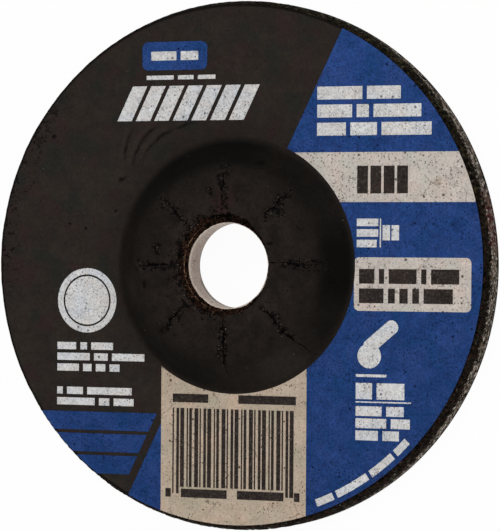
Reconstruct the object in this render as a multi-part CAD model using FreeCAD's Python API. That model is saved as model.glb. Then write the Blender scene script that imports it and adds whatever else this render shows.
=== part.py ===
import FreeCAD, Part
import math
import os
from FreeCAD import Vector

# A grinding wheel with a depressed centre, lying on its work face with the label up.
# Millimetres. The origin is on the bore's axis at the work face, and +Z points out of the label.

# Abrasive body
wheel_radius = 50.0
wheel_thickness = 6.0        # work face to label face
hub_rise = 4.0               # label face to hub top
hub_top_radius = 18.7        # where the hub's top and slope would meet
hub_foot_radius = 23.3       # where the slope and the label face would meet
shoulder_round = 2.5
recess_floor_radius = 19.8
recess_mouth_radius = 24.8
work_edge_chamfer = 0.5
rim_ease_width = 0.8         # the moulded corner on the label side leans in by this
rim_ease_height = 1.5
rim_ease_round = 4.0
bore_chamfer = 0.4

# Steel ring in the bore
bore_radius = 8.0
ring_length = 6.0
ring_wall = 0.5
ring_flange_radius = 12.0
ring_flange_thickness = 0.4
ring_mouth_chamfer = 0.3

# Paper label, a little off centre and turned, as it was pressed on
label_thickness = 0.2
label_margin = 0.2           # face left bare outside the label
label_hole_gap = 0.9         # abrasive left bare round the ring
label_shift_x = -0.15
label_shift_y = 0.12
label_turn = -0.43           # degrees
slit_count = 8
slit_end_radius = 19.5
slit_width = 0.8
slit_widest_radius = 12.0
slit_first_angle = 2.4       # degrees

# Ink: fields lie on the paper, and marks lie on a field or on the paper
ink_thickness = 0.04
print_circle_margin = 1.0    # print stops this far outside the hub's foot
slant_angle = 26.0           # degrees from upright, the line that parts blue from black

# Pale fields
band_low = 11.8
band_high = 21.05
panel_overlap = 0.2          # how far the panel runs into the print circle
panel_edge_gap = 2.2         # blue left between the panel and the label's edge
panel_low = -8.3
panel_high = 1.6
panel_round = 1.0
code_panel_left = -14.7
code_panel_right = 14.85

# Blue stripes and badge
stripe_count = 3
stripe_hub_gap = 4.1         # print circle to the first stripe
stripe_height = 3.5
stripe_pitch = 4.15
stripe_gap = 1.8             # black left between the stripes and the slanted line
badge_x = -12.4
badge_row_gap = 3.0          # row of blocks to the foot of the badge
badge_width = 13.4
badge_height = 5.4
badge_round = 1.2

# Plain bars: each line is a row of bar lengths
bar_gap = 0.9
column_gap = 0.3             # print circle to the right-hand column
heading_lines = ((8.9, 6.6), (6.9, 2.4, 9.3), (5.7, 5.2, 9.7))
heading_left = 16.6
heading_band_gap = 3.1       # band to the foot of the heading
heading_height = 2.4
heading_pitch = 3.35
band_bars = ((2.1, 2.1, 2.1, 2.1),)
band_bar_drop = 2.55         # top of the band to the top of its bars
band_bar_height = 5.1
band_bar_gap = 0.5
class_lines = ((4.2,), (4.2,), (3.9,))
class_drop = 3.05            # foot of the band to the top of these lines
class_height = 1.4
class_pitch = 1.95
class_rule_gap = 0.3
class_rule_width = 0.25
class_marks = ((1.45, 1.45),)
class_mark_drop = 1.2
class_mark_height = 2.8
class_mark_gap = 0.3
panel_lines = ((3.0, 1.0, 5.4, 1.0, 5.4), (4.8, 1.3, 1.6, 1.3, 5.6))
panel_line_drop = 2.15
panel_line_height = 2.7
panel_line_pitch = 3.6
speed_lines = ((3.2, 5.4),)
speed_drop = 13.3            # foot of the panel to the top of this line
speed_height = 3.0
rule_drop = 16.7
rule_width = 10.8
rule_height = 0.25
limit_lines = ((5.1, 3.4), (6.0, 3.7), (4.4, 3.2))
limit_drop = 17.6
limit_height = 1.8
limit_pitch = 2.25
upper_note_lines = ((4.0, 1.4, 4.6), (6.9, 2.9, 6.8), (4.6, 1.8, 2.0, 2.1))
lower_note_lines = ((1.2, 3.4, 9.4), (8.0, 2.2, 4.2))
note_inset = 12.3            # label edge to the left end of the notes
upper_note_rise = 13.3       # first stripe to the top of these lines
lower_note_rise = 4.7
note_height = 1.4
note_pitch = 2.07
badge_bars = ((5.2, 3.6),)
badge_bar_height = 1.7
badge_line = ((5.6, 3.2, 3.6),)
badge_line_indent = 0.9
badge_line_drop = 1.0
badge_line_height = 0.8
code_left_bars = ((7.3,),)
code_right_bars = ((11.6,),)
code_right_bars_left = 1.15
code_head_gap = 0.2          # print circle to the bars over the stripes
code_head_height = 1.6
code_foot_bars = ((1.1, 9.4, 9.4, 1.1),)
code_foot_left = -13.7
code_foot_gap = 2.1
code_foot_drop = 0.4         # foot of the striped code to the top of these bars
code_foot_height = 1.6

# Row of equal slanted blocks
block_count = 7
block_row_gap = 3.0          # print circle to the foot of the row
block_row_inset = 11.5       # black left between the row and the slanted line
block_row_height = 6.6
block_width = 3.0
block_gap = 0.85

# Striped code: bars of one, two or three modules
code_left = -12.3
code_hub_gap = 2.9
code_height = 14.9
code_guard_drop = 1.3        # the two bars at each end run this much lower
code_module = 0.265
code_bar_count = 27

# Round mark: a ring and a disc
seal_angle = 193.0           # degrees
seal_gap = 0.75              # print circle to the mark
seal_radius = 6.2
seal_ring_width = 1.2
seal_ring_gap = 0.35

# Small picture of a hand tool: body, head and the work under it
tool_drop = 11.7             # foot of the panel to the work
tool_body_length = 8.0
tool_body_width = 2.6
tool_body_round = 1.2
tool_body_angle = 40.0       # degrees
tool_body_lift = 3.4
tool_disc_radius = 2.3
tool_floor_width = 6.0
tool_floor_height = 0.5

# Bars bent along the label's edge
arc_bar_inset = 1.7
arc_bar_height = 1.4
arc_bar_angles = ((-69.0, -64.6), (-63.7, -55.2), (-54.3, -47.6), (-46.7, -42.8))

# Heights and radii that follow
face_z = wheel_thickness
hub_z = face_z + hub_rise
body_face_z = face_z - label_thickness
body_hub_z = hub_z - label_thickness
recess_floor_z = body_hub_z - ring_length
ring_radius = bore_radius + ring_wall
face_radius = wheel_radius - rim_ease_width
label_radius = face_radius - label_margin
label_hole_radius = ring_radius + label_hole_gap
print_circle_radius = hub_foot_radius + print_circle_margin
column_left = print_circle_radius + column_gap
stripe_top = -(print_circle_radius + stripe_hub_gap)
block_row_low = print_circle_radius + block_row_gap
slope_angle = math.atan2(hub_rise, hub_foot_radius - hub_top_radius)
slant = math.tan(math.radians(slant_angle))
field_z = face_z
mark_z = face_z + ink_thickness
up = Vector(0, 0, 1)


def rounded_wire(corners):
    """Closed outline in the XZ plane through (radius, height, round) corners."""
    stations = []
    for index, (radius, height, bend) in enumerate(corners):
        corner = Vector(radius, 0, height)
        if not bend:
            stations.append((corner, corner, corner))
            continue
        before = corners[index - 1]
        after = corners[(index + 1) % len(corners)]
        back = (Vector(before[0], 0, before[1]) - corner).normalize()
        ahead = (Vector(after[0], 0, after[1]) - corner).normalize()
        half = back.getAngle(ahead) / 2
        inward = (back + ahead).normalize()
        reach = bend / math.tan(half)
        middle = corner + inward * (bend / math.sin(half) - bend)
        stations.append((corner + back * reach, middle, corner + ahead * reach))
    edges = []
    for index, (start, middle, end) in enumerate(stations):
        if start != end:
            edges.append(Part.Arc(start, middle, end).toShape())
        following = stations[(index + 1) % len(stations)][0]
        edges.append(Part.LineSegment(end, following).toShape())
    return Part.Wire(edges)


def turned(corners):
    """Solid of revolution about the bore's axis."""
    return Part.Face(rounded_wire(corners)).revolve(Vector(), up, 360)


def hub_corners(lift):
    """Shoulder and foot of the hub, lifted square to the body's surface."""
    spread = lift * math.tan(slope_angle / 2)
    shoulder = (hub_top_radius + spread, body_hub_z + lift, shoulder_round + lift)
    foot = (hub_foot_radius + spread, body_face_z + lift, 0)
    return shoulder, foot


def abrasive_wheel():
    """Moulded body: recess and work face below, rim, label face and hub above."""
    flange_top = recess_floor_z + ring_flange_thickness
    shoulder, foot = hub_corners(0)
    return turned([
        (ring_radius, flange_top, 0),
        (ring_flange_radius, flange_top, 0),
        (ring_flange_radius, recess_floor_z, 0),
        (recess_floor_radius, recess_floor_z, 0),
        (recess_mouth_radius, 0, 0),
        (wheel_radius - work_edge_chamfer, 0, 0),
        (wheel_radius, work_edge_chamfer, 0),
        (wheel_radius, body_face_z - rim_ease_height, rim_ease_round),
        (face_radius, body_face_z, 0),
        foot,
        shoulder,
        (ring_radius + bore_chamfer, body_hub_z, 0),
        (ring_radius, body_hub_z - bore_chamfer, 0),
    ])


def bore_ring():
    """Thin sleeve, bent out into a flange that is flush with the recess floor."""
    flange_top = recess_floor_z + ring_flange_thickness
    return turned([
        (bore_radius, recess_floor_z + ring_mouth_chamfer, 0),
        (bore_radius + ring_mouth_chamfer, recess_floor_z, 0),
        (ring_flange_radius, recess_floor_z, 0),
        (ring_flange_radius, flange_top, 0),
        (ring_radius, flange_top, 0),
        (ring_radius, body_hub_z, 0),
        (bore_radius, body_hub_z, 0),
    ])


def laid(shape):
    """Anything drawn about the label's centre, moved to where the label lies."""
    shape.rotate(Vector(), up, label_turn)
    shape.translate(Vector(label_shift_x, label_shift_y, 0))
    return shape


def prism(points, low, height):
    """Upright prism on a polygon of (x, y) points."""
    outline = [Vector(x, y, low) for x, y in points]
    return Part.Face(Part.makePolygon(outline + outline[:1])).extrude(up * height)


def slit():
    """Long pointed cut from inside the label's hole to beyond the hub's shoulder."""
    start = label_hole_radius / 2
    half = slit_width / 2
    kite = [(start, -half / 2), (slit_widest_radius, -half), (slit_end_radius, 0),
            (slit_widest_radius, half), (start, half / 2)]
    return prism(kite, body_face_z, hub_rise + wheel_thickness)


def label():
    """Paper formed over the face and hub, cut round its edge, hole and slits."""
    low_shoulder, low_foot = hub_corners(0)
    high_shoulder, high_foot = hub_corners(label_thickness)
    skin = turned([
        (ring_radius, body_hub_z, 0),
        low_shoulder,
        low_foot,
        (wheel_radius, body_face_z, 0),
        (wheel_radius, face_z, 0),
        high_foot,
        high_shoulder,
        (ring_radius, hub_z, 0),
    ])
    blank = Part.makeCylinder(label_radius, hub_z)
    blank = blank.cut(Part.makeCylinder(label_hole_radius, hub_z))
    cuts = []
    for index in range(slit_count):
        cut = slit()
        cut.rotate(Vector(), up, slit_first_angle + index * 360 / slit_count)
        cuts.append(cut)
    return skin.common(laid(blank.cut(cuts)))


def slab(left, low, right, high, base):
    """Flat rectangle of ink."""
    return Part.makeBox(right - left, high - low, ink_thickness, Vector(left, low, base))


def rounded_slab(left, low, right, high, base, bend):
    """Flat rectangle of ink with round corners."""
    block = slab(left, low, right, high, base)
    upright = [edge for edge in block.Edges if edge.tangentAt(0).isParallel(up, 0.1)]
    return block.makeFillet(bend, upright)


def printable(base):
    """Ring of the label's flat face that takes ink."""
    disc = Part.makeCylinder(label_radius, ink_thickness, Vector(0, 0, base))
    return disc.cut(Part.makeCylinder(print_circle_radius, ink_thickness, Vector(0, 0, base)))


def slanted_field(low, high, left_offset, right_offset):
    """Field between two slanted edges, given by where they would cross the label's middle line."""
    points = [(left_offset + low * slant, low), (right_offset + low * slant, low),
              (right_offset + high * slant, high), (left_offset + high * slant, high)]
    return prism(points, field_z, ink_thickness)


def inked(shapes, base):
    """Shapes taken together and trimmed to the ring that takes ink."""
    return Part.makeCompound(shapes).common(printable(base))


def bar_rows(lines, left, top, height, pitch, gap, base):
    """Rows of plain bars, with their tops at an even pitch."""
    bars = []
    for row, widths in enumerate(lines):
        x = left
        high = top - row * pitch
        for width in widths:
            bars.append(slab(x, high - height, x + width, high, base))
            x += width + gap
    return bars


def grey_fields():
    """Band across the right of the label, and the round-cornered panel below it."""
    band = slab(0, band_low, label_radius, band_high, field_z)
    panel = rounded_slab(print_circle_radius - panel_overlap, panel_low, label_radius - panel_edge_gap,
                         panel_high, field_z, panel_round)
    return [band, panel]


def cream_field():
    """Panel under the striped code, from the hub to the label's edge."""
    return slab(code_panel_left, -label_radius, code_panel_right, 0, field_z)


def badge():
    """Round-cornered patch near the top of the label, with bars on it and a line of bars below it."""
    left = badge_x - badge_width / 2
    low = block_row_low + block_row_height + badge_row_gap
    middle = low + badge_height / 2
    patch = rounded_slab(left, low, left + badge_width, low + badge_height, field_z, badge_round)
    row_width = sum(badge_bars[0]) + bar_gap * (len(badge_bars[0]) - 1)
    on_patch = bar_rows(badge_bars, badge_x - row_width / 2, middle + badge_bar_height / 2,
                        badge_bar_height, 0, bar_gap, mark_z)
    below = bar_rows(badge_line, left + badge_line_indent, low - badge_line_drop,
                     badge_line_height, 0, bar_gap, field_z)
    return patch, on_patch, below


def blue_print():
    """Half of the label right of the slanted line, stripes left of it, and the badge's patch."""
    reach = 2 * label_radius
    half = slanted_field(-label_radius, label_radius, 0, reach)
    half = half.cut(grey_fields() + [cream_field()])
    shapes = [half, badge()[0]]
    for index in range(stripe_count):
        high = stripe_top - index * stripe_pitch
        shapes.append(slanted_field(high - stripe_height, high, -reach, -stripe_gap))
    return inked(shapes, field_z)


def slanted_blocks():
    """Row of equal slanted blocks above the hub."""
    high = block_row_low + block_row_height
    pitch = block_width + block_gap
    first = block_gap - block_row_inset - block_count * pitch
    starts = [first + index * pitch for index in range(block_count)]
    return [slanted_field(block_row_low, high, start, start + block_width) for start in starts]


def seal():
    """Ring round a plain disc, beside the hub."""
    centre = Vector(print_circle_radius + seal_gap + seal_radius, 0, field_z)
    inner = seal_radius - seal_ring_width
    ring = Part.makeCylinder(seal_radius, ink_thickness, centre)
    ring = ring.cut(Part.makeCylinder(inner, ink_thickness, centre))
    disc = Part.makeCylinder(inner - seal_ring_gap, ink_thickness, centre)
    for shape in (ring, disc):
        shape.rotate(Vector(), up, seal_angle)
    return [ring, disc]


def tool_picture():
    """Plain picture of a hand tool over its work."""
    low = panel_low - tool_drop
    head = Vector(column_left + tool_body_width, low + tool_body_lift, 0)
    body = rounded_slab(0, 0, tool_body_length, tool_body_width, mark_z, tool_body_round)
    body.rotate(Vector(), up, tool_body_angle)
    body.translate(head)
    disc = Part.makeCylinder(tool_disc_radius, ink_thickness, head + up * mark_z)
    work = slab(column_left, low - tool_floor_height, column_left + tool_floor_width, low, mark_z)
    return [body.fuse(disc).removeSplitter(), work]


def arc_bars():
    """Bars bent along the label's lower right edge."""
    centre = Vector(0, 0, mark_z)
    outside = label_radius - arc_bar_inset + arc_bar_height / 2
    core = Part.makeCylinder(outside - arc_bar_height, ink_thickness, centre)
    bars = []
    for start, end in arc_bar_angles:
        bar = Part.makeCylinder(outside, ink_thickness, centre, up, end - start).cut(core)
        bar.rotate(Vector(), up, start)
        bars.append(bar)
    return bars


def class_block():
    """Three short lines, a rule and two marks, under the band."""
    top = band_low - class_drop
    low = top - class_height - class_pitch * (len(class_lines) - 1)
    rule_left = column_left + class_lines[0][0] + class_rule_gap
    marks_left = rule_left + class_rule_width + class_mark_gap
    shapes = bar_rows(class_lines, column_left, top, class_height, class_pitch, bar_gap, mark_z)
    shapes.append(slab(rule_left, low, rule_left + class_rule_width, top, mark_z))
    shapes += bar_rows(class_marks, marks_left, top - class_mark_drop, class_mark_height,
                       0, class_mark_gap, mark_z)
    return shapes


def limit_block():
    """One tall line, a rule and three lines, under the hand tool."""
    rule_top = panel_low - rule_drop
    shapes = bar_rows(speed_lines, column_left, panel_low - speed_drop, speed_height, 0, bar_gap, mark_z)
    shapes.append(slab(column_left, rule_top - rule_height, column_left + rule_width, rule_top, mark_z))
    shapes += bar_rows(limit_lines, column_left, panel_low - limit_drop, limit_height,
                       limit_pitch, bar_gap, mark_z)
    return shapes


def white_print():
    """White bars, rules, blocks and the round mark."""
    patch, on_patch, below_patch = badge()
    note_left = note_inset - label_radius
    on_paper = slanted_blocks() + seal() + below_patch
    heading_top = band_high + heading_band_gap + heading_height + heading_pitch * (len(heading_lines) - 1)
    for lines, rise in ((upper_note_lines, upper_note_rise), (lower_note_lines, lower_note_rise)):
        on_paper += bar_rows(lines, note_left, stripe_top + rise, note_height, note_pitch, bar_gap, field_z)
    on_blue = bar_rows(heading_lines, heading_left, heading_top, heading_height, heading_pitch,
                       bar_gap, mark_z)
    on_blue += on_patch + class_block() + tool_picture() + limit_block() + arc_bars()
    return Part.makeCompound(inked(on_paper, field_z).Solids + inked(on_blue, mark_z).Solids)


def striped_code():
    """Upright bars whose widths and gaps follow a short repeating rhythm."""
    top = -(print_circle_radius + code_hub_gap)
    bars = []
    x = code_left
    for index in range(code_bar_count):
        width = code_module * (1 + index % 3)
        guard = index in (0, 1, code_bar_count - 2, code_bar_count - 1)
        foot = top - code_height - (code_guard_drop if guard else 0)
        bars.append(slab(x, foot, x + width, top, mark_z))
        x += width + code_module * (1 + (index + 1) % 2)
    return bars


def dark_print():
    """Dark bars on the pale fields."""
    head_top = -(print_circle_radius + code_head_gap)
    foot_top = -(print_circle_radius + code_hub_gap + code_height + code_foot_drop)
    shapes = striped_code()
    shapes += bar_rows(band_bars, column_left, band_high - band_bar_drop, band_bar_height,
                       0, band_bar_gap, mark_z)
    shapes += bar_rows(panel_lines, column_left + panel_round / 2, panel_high - panel_line_drop,
                       panel_line_height, panel_line_pitch, bar_gap, mark_z)
    shapes += bar_rows(code_left_bars, code_left, head_top, code_head_height, 0, bar_gap, mark_z)
    shapes += bar_rows(code_right_bars, code_right_bars_left, head_top, code_head_height, 0, bar_gap, mark_z)
    shapes += bar_rows(code_foot_bars, code_foot_left, foot_top, code_foot_height, 0, code_foot_gap, mark_z)
    return inked(shapes, mark_z)


def main():
    os.makedirs("parts", exist_ok=True)
    nodes = {
        "abrasive_wheel": abrasive_wheel(),
        "bore_ring": bore_ring(),
        "label": label(),
        "print_blue": laid(blue_print()),
        "print_grey": laid(inked(grey_fields(), field_z)),
        "print_cream": laid(inked([cream_field()], field_z)),
        "print_white": laid(white_print()),
        "print_dark": laid(dark_print()),
    }
    for name, shape in nodes.items():
        shape.exportStep("parts/" + name + ".step")
        print(name, "solids", len(shape.Solids), "volume", round(shape.Volume, 3), "valid", shape.isValid())


main()
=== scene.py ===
import itertools
import math
from collections import namedtuple

import bpy
import bmesh
import numpy as np
from mathutils import Matrix, Vector


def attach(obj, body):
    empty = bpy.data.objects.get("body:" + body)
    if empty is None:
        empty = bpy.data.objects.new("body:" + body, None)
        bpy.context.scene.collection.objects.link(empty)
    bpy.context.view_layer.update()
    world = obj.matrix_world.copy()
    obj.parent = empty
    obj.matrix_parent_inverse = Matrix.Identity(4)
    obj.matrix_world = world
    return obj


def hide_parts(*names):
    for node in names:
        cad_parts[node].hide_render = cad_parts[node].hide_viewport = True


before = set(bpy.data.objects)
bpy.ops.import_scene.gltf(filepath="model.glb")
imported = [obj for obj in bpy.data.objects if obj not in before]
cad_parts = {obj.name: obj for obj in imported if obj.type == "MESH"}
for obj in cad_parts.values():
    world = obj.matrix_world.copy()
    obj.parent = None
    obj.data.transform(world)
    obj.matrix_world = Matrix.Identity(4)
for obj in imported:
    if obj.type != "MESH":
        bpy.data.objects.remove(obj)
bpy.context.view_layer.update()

# Lengths in this file are millimetres unless a line says otherwise; meshes are written in metres.
MM = 0.001

# The same named sizes as the CAD source
WHEEL_RADIUS = 50.0
FACE_RADIUS = 49.2
BODY_FACE = 5.8
BODY_HUB = 9.8
PAPER = 0.2
HUB_TOP_RADIUS = 18.7
HUB_FOOT_RADIUS = 23.3
SHOULDER_ROUND = 2.5
FOOT_ROUND = 1.3
RECESS_FLOOR = 3.8
RECESS_FLOOR_RADIUS = 19.8
RECESS_MOUTH_RADIUS = 24.8
BORE_RADIUS = 8.0
RING_RADIUS = 8.5
FLANGE_RADIUS = 12.0
FLANGE_TOP = 4.2
LABEL_RADIUS = 49.0
LABEL_HOLE_RADIUS = 9.4
LABEL_CENTRE = (-0.15, 0.12)

# Sizes of the dressed pieces alone
RING_TOP = 9.3                # the ring's worn lip
RING_GAP = 0.1                # between the ring and the body
RING_SHIFT = 0.06             # of the ring, in x
BORE_SHIFT = (0.2, -0.05)     # of the crumbs round the bore, in x and y
SHEET = 0.19                  # the paper's thickness
HOLE_FRAY = 1.6               # how far out from its hole the paper is frayed

# Angle in degrees, where the open crack starts and ends, its widest half, and points that it passes,
# along and across that direction
Slit = namedtuple("Slit", "angle start end widest path")
SLITS = [Slit(*row) for row in (
    (3.0, 9.5, 19.8, 0.46, ((8.8, 0.4), (11.8, -0.24), (14.8, -0.6), (16.8, -0.15), (19.1, -0.55), (22.4, -0.35))),
    (49.0, 12.3, 19.2, 0.5, ((11.5, 1.0), (13.4, 0.1), (16.1, -0.2), (18.5, -0.7), (21.8, -1.0))),
    (93.4, 11.0, 17.9, 0.5, ((10.0, 0.3), (12.8, 0.2), (15.1, -0.3), (17.4, -0.5), (22.2, 0.2))),
    (138.0, 11.6, 17.3, 0.42, ((10.0, -0.8), (11.7, -0.4), (14.4, -0.4), (16.6, -0.8), (19.0, -0.95))),
    (181.0, 11.8, 18.2, 0.46, ((11.0, -0.1), (12.8, -0.25), (15.1, -0.15), (18.2, -0.3))),
    (225.0, 13.0, 18.7, 0.4, ((11.0, -0.8), (13.9, -0.6), (16.2, -0.6), (18.4, -0.3))),
    (268.0, 9.5, 21.3, 0.52, ((9.2, 0.0), (11.1, -0.4), (13.9, -0.2), (16.7, 0.25), (19.1, 0.5), (22.0, 0.4))),
    (316.4, 10.6, 22.6, 0.44, ((8.4, -1.6), (10.5, -1.05), (12.8, -0.55), (15.1, -0.8), (17.8, -1.05),
                               (19.6, -0.8), (22.3, -0.6))))]
# Centre and half sizes of small chips in the paper, and of patches of crumbs
CHIPS = ((-34.3, 8.1, 0.5, 0.4), (-31.0, 7.2, 0.35, 0.5), (-37.7, 24.9, 0.55, 0.45), (-24.6, 10.5, 0.35, 0.5),
         (-23.4, 16.5, 0.75, 0.5), (-16.9, -3.6, 0.45, 1.0), (6.4, 19.1, 1.1, 0.45), (8.8, 4.1, 0.8, 0.45),
         (-10.4, -0.2, 0.6, 0.5), (-9.6, 4.3, 0.8, 0.8))
PATCHES = ((-14.1, 3.1, 1.2, 1.9), (10.7, 9.9, 1.5, 1.4), (-3.4, 13.9, 0.9, 0.9))
CREASES = (  # centre, radius, middle and half span in degrees
    ((-2.2, 17.4), 20.8, 163.7, 9.4), ((-11.0, 17.9), 10.0, 147.9, 28.0), ((-9.8, 16.5), 9.7, 131.3, 25.0),
    ((-6.6, 12.2), 14.85, 103.6, 9.9), ((-12.5, 5.6), 15.2, 134.3, 4.5))
# How finely the pieces are divided: points in a ring of the body, in one of the sleeve, and across a sector
# of the paper
COARSE, MEDIUM, FINE = 360, 720, 1440
SLEEVE_POINTS = 540
COLUMNS = 60
# How many grains stand proud: in the crumbly ring round the bore, in each crack, and on the rim
BORE_GRAINS = 900
CRACK_GRAINS = 70
RIM_GRAINS = 1150


# ------------------------ helpers

def smooth(t):
    t = np.clip(t, 0.0, 1.0)
    return t * t * (3.0 - 2.0 * t)


def noise(points, size, seed):
    """Smooth value noise from -1 to 1 at (n, 3) points, with features of that size."""
    period = 32
    table = np.random.default_rng(seed).uniform(-1.0, 1.0, (period, period, period))
    cell = np.asarray(points, float) / size
    base = np.floor(cell).astype(int)
    t = smooth(cell - base)
    total = np.zeros(len(cell))
    for dx, dy, dz in itertools.product((0, 1), repeat=3):
        weight = np.abs(1 - dx - t[:, 0]) * np.abs(1 - dy - t[:, 1]) * np.abs(1 - dz - t[:, 2])
        corner = (base + (dx, dy, dz)) % period
        total += weight * table[corner[:, 0], corner[:, 1], corner[:, 2]]
    return total


def noise1(values, size, seed):
    """Smooth value noise from -1 to 1 along a line."""
    values = np.asarray(values, float)
    return noise(np.stack([values, values * 0 + 0.37 * size, values * 0 + 0.61 * size], 1), size, seed)


def rounded_profile(corners, step):
    """(n, 2) points along a polyline of (radius, height, round) corners, at most a step apart."""
    points = [np.array(corners[0][:2], float)]
    for before, corner, after in zip(corners, corners[1:], corners[2:]):
        here = np.array(corner[:2], float)
        bend = corner[2]
        if not bend:
            points.append(here)
            continue
        back = np.array(before[:2]) - here
        ahead = np.array(after[:2]) - here
        back /= np.linalg.norm(back)
        ahead /= np.linalg.norm(ahead)
        half = math.acos(float(np.clip(back @ ahead, -1, 1))) / 2
        inward = (back + ahead) / np.linalg.norm(back + ahead)
        centre = here + inward * bend / math.sin(half)
        start = here + back * bend / math.tan(half)
        end = here + ahead * bend / math.tan(half)
        a0 = math.atan2(*(start - centre)[::-1])
        a1 = math.atan2(*(end - centre)[::-1])
        sweep = (a1 - a0 + math.pi) % (2 * math.pi) - math.pi
        count = max(3, int(abs(sweep) * bend / step) + 1)
        for k in range(count + 1):
            a = a0 + sweep * k / count
            points.append(centre + bend * np.array([math.cos(a), math.sin(a)]))
    points.append(np.array(corners[-1][:2], float))
    same_place = 1e-6
    dense = [points[0]]
    for p in points[1:]:
        gap = np.linalg.norm(p - dense[-1])
        if gap < same_place:
            continue
        count = max(1, int(math.ceil(gap / step)))
        start = dense[-1]
        dense += [start + (p - start) * k / count for k in range(1, count + 1)]
    return np.array(dense)


def hub_profile(lift):
    """Height over radius of the label side, lifted square off the body."""
    slope = math.atan2(BODY_HUB - BODY_FACE, HUB_FOOT_RADIUS - HUB_TOP_RADIUS)
    spread = lift * math.tan(slope / 2)
    return rounded_profile([
        (0, BODY_HUB + lift, 0),
        (HUB_TOP_RADIUS + spread, BODY_HUB + lift, SHOULDER_ROUND + lift),
        (HUB_FOOT_RADIUS + spread, BODY_FACE + lift, FOOT_ROUND - lift),
        (WHEEL_RADIUS, BODY_FACE + lift, 0)], 0.1)


paper_top = hub_profile(PAPER)
body_top = hub_profile(0)


def paper_height(radius):
    return np.interp(radius, paper_top[:, 0], paper_top[:, 1])


def body_height(radius):
    return np.interp(radius, body_top[:, 0], body_top[:, 1])


def ring_faces(rings, skip=None):
    """Faces between neighbouring rings of points, whose counts are equal or differ by a factor of two."""
    quads, tris = [], []
    start = 0
    for index in range(len(rings) - 1):
        n, m = len(rings[index]), len(rings[index + 1])
        after = start + n
        j = np.arange(min(n, m))
        k = (j + 1) % min(n, m)
        left, mid, right = 2 * j, 2 * j + 1, (2 * j + 2) % max(n, m)
        if n == m:
            rows = np.stack([start + j, start + k, after + k, after + j], 1)
            quads.append(rows if skip is None else rows[~skip[index]])
        elif m == 2 * n:
            tris += [np.stack([start + j, after + mid, after + left], 1),
                     np.stack([start + j, start + k, after + mid], 1),
                     np.stack([start + k, after + right, after + mid], 1)]
        else:
            tris += [np.stack([after + j, start + left, start + mid], 1),
                     np.stack([after + j, start + mid, after + k], 1),
                     np.stack([after + k, start + mid, start + right], 1)]
        start = after
    return quads, tris


def make_piece(name, points, quads, tris, material, flat_from=None):
    """Mesh object from points in millimetres; its faces are smooth up to flat_from."""
    mesh = bpy.data.meshes.new(name)
    quads = np.concatenate(quads) if len(quads) else np.zeros((0, 4), int)
    tris = np.concatenate(tris) if len(tris) else np.zeros((0, 3), int)
    loops = np.concatenate([quads.ravel(), tris.ravel()]).astype(np.int32)
    counts = np.concatenate([np.full(len(quads), 4), np.full(len(tris), 3)])
    starts = np.concatenate([[0], np.cumsum(counts)[:-1]]).astype(np.int32)
    mesh.vertices.add(len(points))
    mesh.vertices.foreach_set("co", (np.asarray(points, float) * MM).astype(np.float32).ravel())
    mesh.loops.add(len(loops))
    mesh.loops.foreach_set("vertex_index", loops)
    mesh.polygons.add(len(counts))
    mesh.polygons.foreach_set("loop_start", starts)
    mesh.update(calc_edges=True)
    mesh.validate()
    flags = np.ones(len(mesh.polygons), bool)
    if flat_from is not None:
        flags[flat_from:] = False
    mesh.polygons.foreach_set("use_smooth", flags)
    mesh.materials.append(material)
    piece = bpy.data.objects.new(name, mesh)
    bpy.context.scene.collection.objects.link(piece)
    return piece


def circle(radius, height, count):
    a = np.arange(count) * 2 * math.pi / count
    radius = np.broadcast_to(radius, count)
    return np.stack([radius * np.cos(a), radius * np.sin(a), np.broadcast_to(height, count)], 1)


# ------------------------ materials

def seen(red, green, blue):
    """Linear colour of a 0-255 screen colour."""
    def one(v):
        v /= 255.0
        return v / 12.92 if v <= 0.04045 else ((v + 0.055) / 1.055) ** 2.4
    return (one(red), one(green), one(blue), 1.0)


def scaled_colour(colour, factor):
    return tuple(v * factor for v in colour[:3]) + (1.0,)


def add_node(tree, kind, inputs=(), **settings):
    """A new shader node, each of whose inputs is linked, set, or for None left as it is."""
    made = tree.nodes.new("ShaderNode" + kind)
    for key, value in settings.items():
        setattr(made, key, value)
    for key, value in dict(inputs).items():
        if isinstance(value, bpy.types.NodeSocket):
            tree.links.new(value, made.inputs[key])
        elif value is not None:
            made.inputs[key].default_value = value
    return made


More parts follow.
